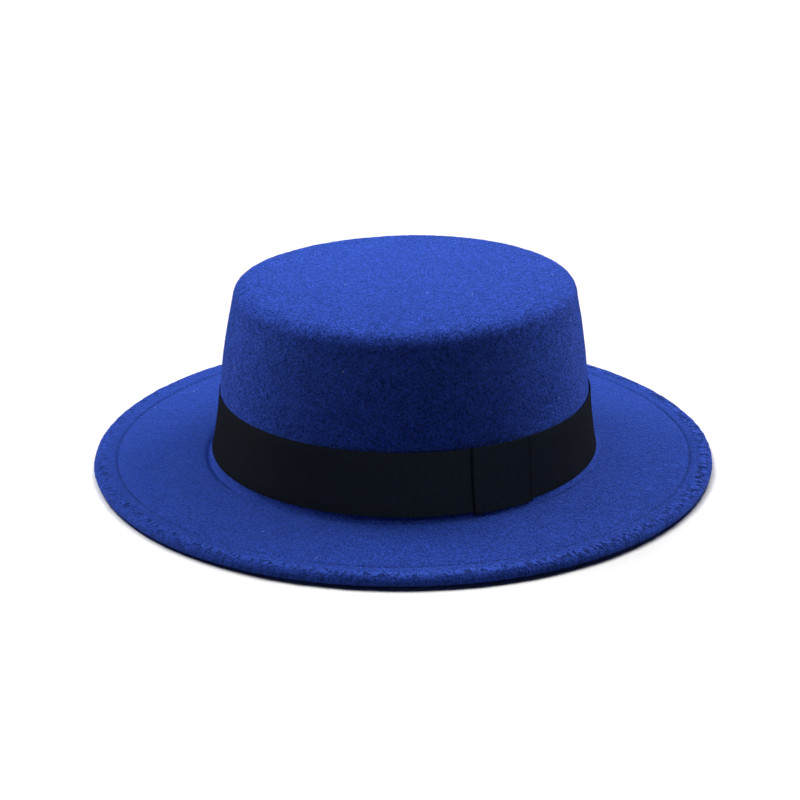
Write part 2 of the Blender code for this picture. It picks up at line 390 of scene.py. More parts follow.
def hem_sections():
    """The strip under the brim, from its inner edge out to the fold and round it."""
    sections = []
    for inset in HEM_INSETS:
        sections.append(section(EDGE_LENGTH - inset, EDGE_WIDTH - inset, HALF_FELT, lift=1.0))
    for step in range(FOLD_STEPS + 1):
        turn = math.pi * step / FOLD_STEPS
        inset = HALF_FELT + FOLD_RADIUS - FOLD_RADIUS * math.sin(turn)
        height = HALF_FELT + FOLD_RADIUS * (1 - math.cos(turn))
        sections.append(section(EDGE_LENGTH - inset, EDGE_WIDTH - inset, height, lift=1.0))
    return sections


def seam_sections():
    """The brim over the hem, with the groove that the stitches pull into it."""
    sections = []
    for row in SEAM:
        half_length = SEAM_LENGTH - row["inwards"]
        half_width = SEAM_WIDTH - row["inwards"]
        height = BRIM_MIDDLE - row["groove"] * SEAM_GROOVE
        sections.append(section(half_length, half_width, height, lift=row["lift"]))
    return sections


def brim_sections():
    """The brim from the seam inwards, with the groove and the crease at the crown's foot."""
    sections = []
    bend_radius = CREASE_RADIUS + HALF_FELT
    bend_foot = wall_lean(BRIM_TOP + CREASE_RADIUS)
    crease_length = FOOT_LENGTH - bend_foot * TAPER_LENGTH - HALF_FELT + FOOT_SWELL
    crease_width = FOOT_WIDTH - bend_foot * TAPER_WIDTH - HALF_FELT + FOOT_SWELL
    inner_length = crease_length + bend_radius
    inner_width = crease_width + bend_radius
    for row in BRIM:
        half_length = inner_length + row["reach"] * (EDGE_LENGTH - HEM_DEPTH - inner_length)
        half_width = inner_width + row["reach"] * (EDGE_WIDTH - HEM_DEPTH - inner_width)
        sections.append(section(half_length, half_width, BRIM_MIDDLE, row["lift"], row["tilt"]))
    for row in PRESS:
        half_length = inner_length + row["outwards"]
        half_width = inner_width + row["outwards"]
        oval = section(half_length, half_width, BRIM_MIDDLE, tilt=row["tilt"], press=row["press"])
        sections.append(oval)
    for step in range(CREASE_STEPS + 1):
        turn = math.pi / 2 * step / CREASE_STEPS
        half_length = crease_length + bend_radius * (1 - math.sin(turn))
        half_width = crease_width + bend_radius * (1 - math.sin(turn))
        height = BRIM_MIDDLE + bend_radius * (1 - math.cos(turn))
        press = 1.0 - step / CREASE_STEPS
        sections.append(section(half_length, half_width, height, tilt=1.0, press=press))
    return sections


def wall_sections():
    """The crown's wall from the crease up to the shoulder."""
    sections = []
    for row in WALL[1:-1]:
        height = BRIM_TOP + row["height"] * (SHOULDER_BASE - BRIM_TOP)
        half_length, half_width = wall_oval(height, foot_swell(height) - HALF_FELT)
        full = smooth_step(*FULL_SPAN, height)
        sections.append(section(half_length, half_width, height, sag=row["sag"], full=full))
    return sections


def top_sections():
    """The shoulder's bend and the flat top."""
    sections = []
    bend_radius = SHOULDER_RADIUS - HALF_FELT
    flat_length = FOOT_LENGTH - TAPER_LENGTH - SHOULDER_RADIUS
    flat_width = FOOT_WIDTH - TAPER_WIDTH - SHOULDER_RADIUS
    for step in range(SHOULDER_STEPS + 1):
        turn = SHOULDER_START + (math.pi / 2 - SHOULDER_START) * step / SHOULDER_STEPS
        half_length = flat_length + bend_radius * math.cos(turn) ** SHOULDER_SQUARENESS
        half_width = flat_width + bend_radius * math.cos(turn) ** SHOULDER_SQUARENESS
        height = SHOULDER_BASE + bend_radius * math.sin(turn) ** SHOULDER_SQUARENESS
        sections.append(section(half_length, half_width, height, sag=1.0, full=1.0))
    for row in TOP:
        size = row["size"]
        height = HAT_HEIGHT - HALF_FELT + CROWN_DOME * (1 - size ** 2)
        oval = section(size * flat_length, size * flat_width, height, sag=row["sag"], full=size)
        sections.append(oval)
    return sections


def felt_sections():
    """The middle of the felt, from the hem's inner edge over the brim and up to the flat top."""
    return hem_sections() + seam_sections() + brim_sections() + wall_sections() + top_sections()


def deselect_all():
    """Leave nothing selected and no object active."""
    if bpy.context.object and bpy.context.object.mode != "OBJECT":
        bpy.ops.object.mode_set(mode="OBJECT")
    for item in bpy.context.view_layer.objects:
        item.select_set(False)


def activate(piece):
    """Select one object alone and make it active."""
    deselect_all()
    piece.select_set(True)
    bpy.context.view_layer.objects.active = piece


def apply_modifiers(piece):
    """Apply every modifier on a piece, in order."""
    activate(piece)
    for modifier in list(piece.modifiers):
        bpy.ops.object.modifier_apply(modifier=modifier.name)


def finish_piece(piece, material, slot, *nodes):
    """Give a piece its finish, attach it to what it rides on, and hide the parts it stands for."""
    activate(piece)
    bpy.ops.object.transform_apply(location=True, rotation=True, scale=True)
    piece.data.materials.clear()
    piece.data.materials.append(material)
    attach(piece, "root")
    if nodes:
        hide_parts(*nodes)


def extrude_ovals(name, sections, steps):
    """Extrude a ring of edges from oval to oval, as sections give them."""
    deselect_all()
    first = sections[0]
    bpy.ops.mesh.primitive_circle_add(vertices=steps, radius=1.0, location=(0.0, 0.0, 0.0))
    piece = bpy.context.object
    piece.name = name
    bpy.ops.object.mode_set(mode="EDIT")
    bpy.ops.mesh.select_all(action="SELECT")
    bpy.ops.transform.resize(value=(first["half_length"], first["half_width"], 1.0))
    bpy.ops.transform.translate(value=(0.0, 0.0, first["height"]))
    for before, after in zip(sections, sections[1:]):
        rise = after["height"] - before["height"]
        bpy.ops.mesh.extrude_region_move(TRANSFORM_OT_translate={"value": (0.0, 0.0, rise)})
        stretch = (
            after["half_length"] / before["half_length"],
            after["half_width"] / before["half_width"],
            1.0,
        )
        bpy.ops.transform.resize(value=stretch, center_override=(0.0, 0.0, after["height"]))
    return piece


def settle(piece, sections, steps):
    """Move the rings of an extruded piece to the heights that the felt has taken."""
    for vertex in piece.data.vertices:
        oval = sections[vertex.index // steps]
        angle = math.atan2(vertex.co.y / oval["half_width"], vertex.co.x / oval["half_length"])
        vertex.co.z = settled_height(oval, angle)
        vertex.co.x += oval["full"] * LEFT_FULLNESS * min(0.0, math.cos(angle))


def make_felt_hat(material):
    """Crown and brim in one pressed piece, with the brim's edge folded under."""
    sections = felt_sections()
    hat = extrude_ovals("felt_hat", sections, CAGE_STEPS)
    bpy.ops.mesh.edge_face_add()
    bpy.ops.object.mode_set(mode="OBJECT")
    settle(hat, sections, CAGE_STEPS)
    activate(hat)
    bpy.ops.object.mode_set(mode="EDIT")
    bpy.ops.mesh.select_all(action="SELECT")
    bpy.ops.mesh.normals_make_consistent(inside=False)
    bpy.ops.object.mode_set(mode="OBJECT")
    smooth = hat.modifiers.new("smooth", "SUBSURF")
    smooth.levels = 2
    smooth.render_levels = 2
    wall = hat.modifiers.new("wall", "SOLIDIFY")
    wall.thickness = FELT
    wall.offset = 0.0
    wall.use_even_offset = True
    apply_modifiers(hat)
    add_felt_relief(hat)
    activate(hat)
    bpy.ops.object.shade_smooth()
    finish_piece(hat, material, "blue_felt", "felt_body")
    return hat


def add_felt_relief(hat):
    """Press low, soft dents into the felt, deeper along the fold and the shoulder."""
    everywhere = hat.vertex_groups.new(name="everywhere")
    rough = hat.vertex_groups.new(name="rough")
    everywhere.add(range(len(hat.data.vertices)), 1.0, "REPLACE")
    for vertex in hat.data.vertices:
        share = math.hypot(vertex.co.x / EDGE_LENGTH, vertex.co.y / EDGE_WIDTH)
        lip = smooth_step(*LIP_SPAN, share)
        shoulder = smooth_step(SHOULDER_BASE - SHOULDER_RISE, SHOULDER_BASE, vertex.co.z)
        clear = smooth_step(*CLEAR_SPAN, vertex.co.z)
        weight = clear * max(lip, SHOULDER_ROUGHNESS * shoulder, FLAT_ROUGHNESS)
        rough.add([vertex.index], weight, "REPLACE")
    for dent in DENTS:
        texture = bpy.data.textures.new(dent["name"], "CLOUDS")
        texture.noise_scale = dent["size"]
        texture.noise_depth = 1
        press = hat.modifiers.new(dent["name"], "DISPLACE")
        press.texture = texture
        press.texture_coords = "LOCAL"
        press.vertex_group = dent["group"]
        press.strength = dent["depth"]
        press.mid_level = 0.5
    apply_modifiers(hat)
    hat.vertex_groups.remove(hat.vertex_groups["everywhere"])
    keep_above_floor(hat)


def keep_above_floor(piece):
    """Lift what has gone below the resting plane up to it."""
    for vertex in piece.data.vertices:
        vertex.co.z = max(vertex.co.z, 0.0)


def make_nap_tree():
    """Geometry nodes that stand short cones on the felt, at random and as its roughness says."""
    tree = bpy.data.node_groups.new("grow nap", "GeometryNodeTree")
    tree.interface.new_socket("Geometry", in_out="INPUT", socket_type="NodeSocketGeometry")
    tree.interface.new_socket("Geometry", in_out="OUTPUT", socket_type="NodeSocketGeometry")
    nodes = tree.nodes
    links = tree.links
    start = nodes.new("NodeGroupInput")
    end = nodes.new("NodeGroupOutput")
    weight = nodes.new("GeometryNodeInputNamedAttribute")
    weight.data_type = "FLOAT"
    weight.inputs["Name"].default_value = "rough"
    amount = nodes.new("ShaderNodeMath")
    amount.operation = "MULTIPLY"
    amount.inputs[1].default_value = NAP_DENSITY
    points = nodes.new("GeometryNodeDistributePointsOnFaces")
    points.inputs["Seed"].default_value = NAP_SEED
    fibre = nodes.new("GeometryNodeMeshCone")
    fibre.fill_type = "NONE"
    fibre.inputs["Vertices"].default_value = 3
    fibre.inputs["Radius Top"].default_value = 0.0
    fibre.inputs["Radius Bottom"].default_value = NAP_RADIUS
    fibre.inputs["Depth"].default_value = 1.0
    grow = nodes.new("GeometryNodeInstanceOnPoints")
    length = nodes.new("FunctionNodeRandomValue")
    length.data_type = "FLOAT"
    length.inputs[2].default_value = NAP_SHORT
    length.inputs[3].default_value = NAP_LONG
    scale = nodes.new("ShaderNodeCombineXYZ")
    scale.inputs["X"].default_value = 1.0
    scale.inputs["Y"].default_value = 1.0
    tilt = nodes.new("FunctionNodeRandomValue")
    tilt.data_type = "FLOAT_VECTOR"
    tilt.inputs[0].default_value = (-NAP_TILT, -NAP_TILT, 0.0)
    tilt.inputs[1].default_value = (NAP_TILT, NAP_TILT, 2 * math.pi)
    lay = nodes.new("GeometryNodeRotateInstances")
    solid = nodes.new("GeometryNodeRealizeInstances")
    links.new(start.outputs[0], points.inputs["Mesh"])
    links.new(weight.outputs[0], amount.inputs[0])
    links.new(amount.outputs[0], points.inputs["Density"])
    links.new(points.outputs["Points"], grow.inputs["Points"])
    links.new(points.outputs["Rotation"], grow.inputs["Rotation"])
    links.new(fibre.outputs["Mesh"], grow.inputs["Instance"])
    links.new(length.outputs[1], scale.inputs["Z"])
    links.new(scale.outputs[0], grow.inputs["Scale"])
    links.new(grow.outputs["Instances"], lay.inputs["Instances"])
    links.new(tilt.outputs[0], lay.inputs["Rotation"])
    links.new(lay.outputs["Instances"], solid.inputs["Geometry"])
    links.new(solid.outputs["Geometry"], end.inputs[0])
    return tree


def make_nap(hat, material):
    """Short loose fibres that stand off the felt, thickest along the fold and the shoulder."""
    activate(hat)
    bpy.ops.object.duplicate()
    nap = bpy.context.object
    nap.name = "felt_nap"
    nap.data.name = "felt_nap"
    modifier = nap.modifiers.new("grow nap", "NODES")
    modifier.node_group = make_nap_tree()
    apply_modifiers(nap)
    keep_above_floor(nap)
    finish_piece(nap, material, "blue_felt")
    return nap


def add_wall(piece, thickness, rounding, segments):
    """Give a surface a thickness and rounded edges, and shade it as a smooth strip."""
    wall = piece.modifiers.new("wall", "SOLIDIFY")
    wall.thickness = thickness
    wall.offset = 0.0
    wall.use_even_offset = True
    edge = piece.modifiers.new("edge", "BEVEL")
    edge.width = rounding
    edge.segments = segments
    edge.limit_method = "ANGLE"
    edge.angle_limit = SHARP_ANGLE
    apply_modifiers(piece)
    activate(piece)
    bpy.ops.object.shade_smooth_by_angle(angle=SHARP_ANGLE)


def make_ribbon(material):
    """The ribbon band, one closed turn round the foot of the crown."""
    rows = []
    for step in range(RIBBON_ROWS + 1):
        height = BAND_FOOT + (BAND_TOP - BAND_FOOT) * step / RIBBON_ROWS
        half_length, half_width = wall_oval(height, SEAT_GAP + RIBBON - RIBBON_SHEET / 2)
        rows.append(section(half_length, half_width, height))
    ribbon = extrude_ovals("ribbon_band", rows, RIBBON_STEPS)
    bpy.ops.object.mode_set(mode="OBJECT")
    add_wall(ribbon, RIBBON_SHEET, RIBBON_ROUND, 2)
    finish_piece(ribbon, material, "black_ribbon", "hat_band")
    return ribbon


def tab_span(height):
    """The oval's angles at the tab's two ends, which keep one width up its height."""
    half_length, half_width = wall_oval(height, RIBBON)
    run = math.hypot(half_length * math.sin(TAB_BEARING), half_width * math.cos(TAB_BEARING))
    half_turn = TAB_WIDTH / 2 / run
    return TAB_BEARING - half_turn, TAB_BEARING + half_turn


def make_tab(material):
    """The flat keeper over the ribbon's join, a strip that reaches just past the ribbon's edges."""
    deselect_all()
    bpy.ops.mesh.primitive_grid_add(x_subdivisions=TAB_COLUMNS, y_subdivisions=TAB_ROWS, size=2.0)
    tab = bpy.context.object
    tab.name = "keeper_tab"
    # the tab's two ends are marked for painted shade
    side_weight = tab.vertex_groups.new(name="side_weight")
    outset = SEAT_GAP + RIBBON + SEAT_GAP + TAB_THICKNESS / 2
    for vertex in tab.data.vertices:
        share = (vertex.co.x + 1) / 2
        if min(share, 1 - share) < TAB_EDGE_SHADE:
            side_weight.add([vertex.index], 1.0, "REPLACE")
        share -= TAB_CROWDING * math.sin(2 * math.pi * share)
        height = TAB_FOOT + (TAB_TOP - TAB_FOOT) * (vertex.co.y + 1) / 2
        start, end = tab_span(height)
        angle = start + (end - start) * share
        half_length, half_width = wall_oval(height, outset)
        vertex.co = (half_length * math.cos(angle), half_width * math.sin(angle), height)
    add_wall(tab, TAB_THICKNESS, TAB_ROUND, 3)
    finish_piece(tab, material, "black_ribbon", "band_tab")
    return tab


def make_stitch():
    """One stitch, which lies along X at the origin."""
    deselect_all()
    bpy.ops.mesh.primitive_uv_sphere_add(segments=6, ring_count=5, radius=STITCH_RADIUS)
    stitch = bpy.context.object
    bpy.ops.object.mode_set(mode="EDIT")
    bpy.ops.transform.resize(value=(STITCH_LENGTH / 2 / STITCH_RADIUS, 1.0, STITCH_FLATNESS))
    bpy.ops.object.mode_set(mode="OBJECT")
    return stitch


def make_stitches(material):
    """The hem's stitches, a dashed ring let into the brim."""
    oval = section(SEAM_LENGTH, SEAM_WIDTH, BRIM_TOP - SEAM_GROOVE, lift=0.80)
    first = make_stitch()
    made = []
    angle = 0.0
    while angle < 2 * math.pi:
        stitch = first
        if made:
            stitch = first.copy()
            stitch.data = first.data.copy()
            bpy.context.scene.collection.objects.link(stitch)
        across = SEAM_LENGTH * math.cos(angle)
        along = SEAM_WIDTH * math.sin(angle)
        heading = math.atan2(SEAM_WIDTH * math.cos(angle), -SEAM_LENGTH * math.sin(angle))
        stitch.rotation_euler = (0.0, 0.0, heading)
        stitch.location = (across, along, settled_height(oval, angle))
        made.append(stitch)
        run = math.hypot(SEAM_LENGTH * math.sin(angle), SEAM_WIDTH * math.cos(angle))
        angle += STITCH_PITCH / run
    deselect_all()
    for stitch in made:
        stitch.select_set(True)
    bpy.context.view_layer.objects.active = first
    bpy.ops.object.join()
    thread = bpy.context.object
    thread.name = "hem_stitches"
    bpy.ops.object.shade_smooth()
    finish_piece(thread, material, "blue_felt")
    return thread


def new_material(name):
    """A node material, with its tree and its surface shader."""
    material = bpy.data.materials.new(name)
    material.use_nodes = True
    return material, material.node_tree, material.node_tree.nodes["Principled BSDF"]


def make_group(name, inputs, outputs):
    """An empty shader node group with named sockets."""
    group = bpy.data.node_groups.new(name, "ShaderNodeTree")
    for label, kind, value in inputs:
        socket = group.interface.new_socket(label, in_out="INPUT", socket_type=kind)
        if value is not None:
            socket.default_value = value
    for label, kind in outputs:
        group.interface.new_socket(label, in_out="OUTPUT", socket_type=kind)
    return group, group.nodes.new("NodeGroupInput"), group.nodes.new("NodeGroupOutput")


def noise(tree, scale, detail=2.0, roughness=0.5, distortion=0.0):
    """A 3-D noise texture node."""
    node = tree.nodes.new("ShaderNodeTexNoise")
    node.inputs["Scale"].default_value = scale
    node.inputs["Detail"].default_value = detail
    node.inputs["Roughness"].default_value = roughness
    node.inputs["Distortion"].default_value = distortion
    return node


def math_node(tree, operation, first=None, second=None):
    """A Math node, with sockets or numbers as its inputs."""
    node = tree.nodes.new("ShaderNodeMath")
    node.operation = operation
    for place, value in ((0, first), (1, second)):
        if value is None:
            continue
        if isinstance(value, (int, float)):
            node.inputs[place].default_value = value
        else:
            tree.links.new(value, node.inputs[place])
    return node.outputs[0]


def smooth_range(tree, value, low, high):
    """An S curve from 0 at low to 1 at high."""
    node = tree.nodes.new("ShaderNodeMapRange")
    node.interpolation_type = "SMOOTHSTEP"
    node.inputs["From Min"].default_value = low
    node.inputs["From Max"].default_value = high
    tree.links.new(value, node.inputs["Value"])
    return node.outputs["Result"]


def make_felt_group():
    """Matted wool: its height, the tone of its tufts, which follows the height as painted shade and
    painted light, and a mask of lint specks.
    """
    group, start, end = make_group(
        "matted felt",
        [("Position", "NodeSocketVector", None)],
        [("Height", "NodeSocketFloat"), ("Tone", "NodeSocketFloat"), ("Lint", "NodeSocketFloat")],
    )
    links = group.links
    layers = {}
    for name, values in GRAIN.items():
        layers[name] = noise(group, **values)
        links.new(start.outputs["Position"], layers[name].inputs["Vector"])
    off_line = math_node(group, "SUBTRACT", layers["curls"].outputs["Fac"], 0.5)
    off_line = math_node(group, "ABSOLUTE", off_line)
    strands = math_node(group, "SUBTRACT", 1.0, smooth_range(group, off_line, 0.0, STRAND_WIDTH))
    height = math_node(group, "MULTIPLY", strands, STRAND_HEIGHT)
    for name, share in HEIGHT_SHARES.items():
        part = math_node(group, "MULTIPLY", layers[name].outputs["Fac"], share)
        height = math_node(group, "ADD", height, part)
    links.new(height, end.inputs["Height"])
    tone = math_node(group, "MULTIPLY", strands, STRAND_TONE)
    for name, share in TONE_SHARES.items():
        part = math_node(group, "MULTIPLY", layers[name].outputs["Fac"], share)
        tone = math_node(group, "ADD", tone, part)
    links.new(tone, end.inputs["Tone"])
    specks = group.nodes.new("ShaderNodeTexVoronoi")
    specks.inputs["Scale"].default_value = LINT_SCALE
    links.new(start.outputs["Position"], specks.inputs["Vector"])
    near = math_node(group, "LESS_THAN", specks.outputs["Distance"], LINT_SIZE)
    parts = group.nodes.new("ShaderNodeSeparateColor")
    links.new(specks.outputs["Color"], parts.inputs["Color"])
    chosen = math_node(group, "GREATER_THAN", parts.outputs[0], LINT_RARITY)
    links.new(math_node(group, "MULTIPLY", near, chosen), end.inputs["Lint"])
    return group


def oval_radius(tree, parts, half_length, half_width):
    """How far out a place is on the level, as a share of an oval's half sizes, with its two shares."""
    across = math_node(tree, "DIVIDE", parts.outputs["X"], half_length)
    along = math_node(tree, "DIVIDE", parts.outputs["Y"], half_width)
    squares = math_node(tree, "MULTIPLY", across, across)
    squares = math_node(tree, "ADD", squares, math_node(tree, "MULTIPLY", along, along))
    return math_node(tree, "SQRT", squares), across, along


def make_crease_group():
    """Creases that run out over the brim's fold: a height, and where the fold is."""
    group, start, end = make_group(
        "fold creases",
        [
            ("Position", "NodeSocketVector", None),
            ("Half Length", "NodeSocketFloat", 0.16),
            ("Half Width", "NodeSocketFloat", 0.14),
        ],
        [("Height", "NodeSocketFloat"), ("Fold", "NodeSocketFloat")],
    )
    links = group.links
    parts = group.nodes.new("ShaderNodeSeparateXYZ")
    links.new(start.outputs["Position"], parts.inputs["Vector"])
    half_length = start.outputs["Half Length"]
    half_width = start.outputs["Half Width"]
    radius, across, along = oval_radius(group, parts, half_length, half_width)
    angle = math_node(group, "ARCTAN2", along, across)
    unrolled = group.nodes.new("ShaderNodeCombineXYZ")
    cosine = math_node(group, "COSINE", angle)
    links.new(math_node(group, "MULTIPLY", cosine, CREASE_COUNT), unrolled.inputs["X"])
    sine = math_node(group, "SINE", angle)
    links.new(math_node(group, "MULTIPLY", sine, CREASE_COUNT), unrolled.inputs["Y"])
    links.new(math_node(group, "MULTIPLY", radius, CREASE_STRETCH), unrolled.inputs["Z"])
    creases = noise(group, 1.0, 2.0, 0.6, 0.5)
    links.new(unrolled.outputs["Vector"], creases.inputs["Vector"])
    pits = smooth_range(group, creases.outputs["Fac"], *PIT_SPAN)
    inner = smooth_range(group, radius, *FOLD_INNER_SPAN)
    outer = smooth_range(group, radius, *FOLD_OUTER_SPAN)
    ease = math_node(group, "MULTIPLY", outer, FOLD_OUTER_EASE)
    ease = math_node(group, "SUBTRACT", 1.0, ease)
    side_weight = math_node(group, "COSINE", math_node(group, "ADD", angle, CREASE_BEARING))
    side = math_node(group, "MULTIPLY", side_weight, FOLD_SIDE_SHARE)
    side = math_node(group, "ADD", side, 1.0 - FOLD_SIDE_SHARE)
    fold = math_node(group, "MULTIPLY", math_node(group, "MULTIPLY", inner, ease), side)
    links.new(fold, end.inputs["Fold"])
    links.new(math_node(group, "MULTIPLY", pits, fold), end.inputs["Height"])
    return group


def tone_ramp(tree, factor):
    """The felt's colours from its pits to its raised tufts, partly painted shade and painted light."""
    ramp = tree.nodes.new("ShaderNodeValToRGB")
    ramp.color_ramp.elements[0].position = TONE_SPAN[0]
    ramp.color_ramp.elements[0].color = (*FELT_DARK, 1.0)
    ramp.color_ramp.elements[1].position = TONE_SPAN[1]
    ramp.color_ramp.elements[1].color = (*FELT_LIGHT, 1.0)
    tree.links.new(factor, ramp.inputs["Fac"])
    return ramp.outputs["Color"]


def grain_contrast(tree, parts):
    """How strongly the tufts show: little on the brim, most on the wall and the shoulder, where the
    grain's painted shade and light stand in for grazing light.
    """
    crown = smooth_range(tree, parts.outputs["Z"], *CROWN_SPAN)
    radius = oval_radius(tree, parts, FOOT_LENGTH - TAPER_LENGTH, FOOT_WIDTH - TAPER_WIDTH)[0]
    edge = smooth_range(tree, radius, *EDGE_SPAN)
    crown_contrast = math_node(tree, "MULTIPLY", edge, WALL_CONTRAST - TOP_CONTRAST)
    crown_contrast = math_node(tree, "ADD", crown_contrast, TOP_CONTRAST)
    far = smooth_range(tree, parts.outputs["Y"], *FAR_SPAN)
    brim_contrast = math_node(tree, "MULTIPLY", far, BRIM_CONTRAST_FAR - BRIM_CONTRAST)
    brim_contrast = math_node(tree, "ADD", brim_contrast, BRIM_CONTRAST)
    step = math_node(tree, "SUBTRACT", crown_contrast, brim_contrast)
    return math_node(tree, "ADD", math_node(tree, "MULTIPLY", crown, step), brim_contrast)


def oval_line(tree, parts, half_length, half_width):
    """A soft line round an oval on the brim."""
    radius = oval_radius(tree, parts, half_length, half_width)[0]
    off_line = math_node(tree, "ABSOLUTE", math_node(tree, "SUBTRACT", radius, 1.0))
    line_end = PRESS_LINE_WIDTH / 2 / half_width
    return math_node(tree, "SUBTRACT", 1.0, smooth_range(tree, off_line, 0.0, line_end))


def pressed_line(tree, parts):
    """The line pressed into the brim's near side, round the foot of the crown, where it gets painted
    shade.
    """
    line = oval_line(tree, parts, FOOT_LENGTH + PRESS_LINE, FOOT_WIDTH + PRESS_LINE)
    back = smooth_range(tree, parts.outputs["Y"], *FRONT_SPAN)
    return math_node(tree, "MULTIPLY", line, math_node(tree, "SUBTRACT", 1.0, back))


def make_felt_material(felt_group, crease_group):
    """Royal blue pressed felt with a short brushed nap."""
    material, tree, surface = new_material("blue felt")
    place = tree.nodes.new("ShaderNodeTexCoord")
    felt = tree.nodes.new("ShaderNodeGroup")
    felt.node_tree = felt_group
    tree.links.new(place.outputs["Object"], felt.inputs["Position"])
    fold = tree.nodes.new("ShaderNodeGroup")
    fold.node_tree = crease_group
    fold.inputs["Half Length"].default_value = EDGE_LENGTH
    fold.inputs["Half Width"].default_value = EDGE_WIDTH
    tree.links.new(place.outputs["Object"], fold.inputs["Position"])
    # painted shade over the fold's crease grooves, and painted light on their ridges
    crease = math_node(tree, "MULTIPLY", fold.outputs["Height"], CREASE_RIDGE_LIGHT)
    flat = math_node(tree, "MULTIPLY", fold.outputs["Fold"], FOLD_SHADE)
    parts = tree.nodes.new("ShaderNodeSeparateXYZ")
    tree.links.new(place.outputs["Object"], parts.inputs["Vector"])
    contrast = grain_contrast(tree, parts)
    grain = math_node(tree, "SUBTRACT", felt.outputs["Tone"], TONE_MIDDLE)
    grain = math_node(tree, "ADD", math_node(tree, "MULTIPLY", grain, contrast), TONE_MIDDLE)
    tone = math_node(tree, "ADD", grain, math_node(tree, "ADD", crease, flat))
    # painted shade along the pressed groove at the crown's foot, which also sinks the bump
    line = pressed_line(tree, parts)
    tone = math_node(tree, "ADD", tone, math_node(tree, "MULTIPLY", line, PRESS_LINE_SHADE))
    # painted shade along the seam's groove
    seam = oval_line(tree, parts, SEAM_LENGTH, SEAM_WIDTH)
    tone = math_node(tree, "ADD", tone, math_node(tree, "MULTIPLY", seam, SEAM_SHADE))
    specked = tree.nodes.new("ShaderNodeMix")
    specked.data_type = "RGBA"
    specked.inputs["B"].default_value = (*LINT_COLOR, 1.0)
    tree.links.new(felt.outputs["Lint"], specked.inputs["Factor"])
    tree.links.new(tone_ramp(tree, tone), specked.inputs["A"])
    tree.links.new(specked.outputs["Result"], surface.inputs["Base Color"])
    height = math_node(tree, "ADD", fold.outputs["Height"], felt.outputs["Height"])
    height = math_node(tree, "ADD", height, math_node(tree, "MULTIPLY", line, PRESS_LINE_HEIGHT))
    bump = tree.nodes.new("ShaderNodeBump")
    bump.inputs["Strength"].default_value = 1.0
    bump.inputs["Distance"].default_value = FELT_RELIEF
    tree.links.new(height, bump.inputs["Height"])
    tree.links.new(bump.outputs["Normal"], surface.inputs["Normal"])
    surface.inputs["Roughness"].default_value = 0.95
    surface.inputs["Specular IOR Level"].default_value = 0.08
    surface.inputs["Sheen Weight"].default_value = 0.12
    surface.inputs["Sheen Roughness"].default_value = 0.30
    surface.inputs["Sheen Tint"].default_value = (0.10, 0.36, 1.0, 1.0)
    return material


def make_thread_material():
    """Dark blue sewing thread, twisted."""
    material, tree, surface = new_material("blue thread")
    place = tree.nodes.new("ShaderNodeTexCoord")
    ply = noise(tree, 3000.0, 1.0)
    tree.links.new(place.outputs["Object"], ply.inputs["Vector"])
    ramp = tree.nodes.new("ShaderNodeValToRGB")
    ramp.color_ramp.elements[0].color = (*THREAD_DARK, 1.0)
    ramp.color_ramp.elements[1].color = (*THREAD_LIGHT, 1.0)
    tree.links.new(ply.outputs["Fac"], ramp.inputs["Fac"])
    tree.links.new(ramp.outputs["Color"], surface.inputs["Base Color"])
    surface.inputs["Roughness"].default_value = 0.8
    surface.inputs["Specular IOR Level"].default_value = 0.2
    return material


def make_nap_material():
    """The same wool in single fibres."""
    material, tree, surface = new_material("blue nap")
    place = tree.nodes.new("ShaderNodeTexCoord")
    tone = noise(tree, 1200.0, 1.0)
    tree.links.new(place.outputs["Object"], tone.inputs["Vector"])
    tree.links.new(tone_ramp(tree, tone.outputs["Fac"]), surface.inputs["Base Color"])
    surface.inputs["Roughness"].default_value = 0.9
    surface.inputs["Specular IOR Level"].default_value = 0.1
    return material


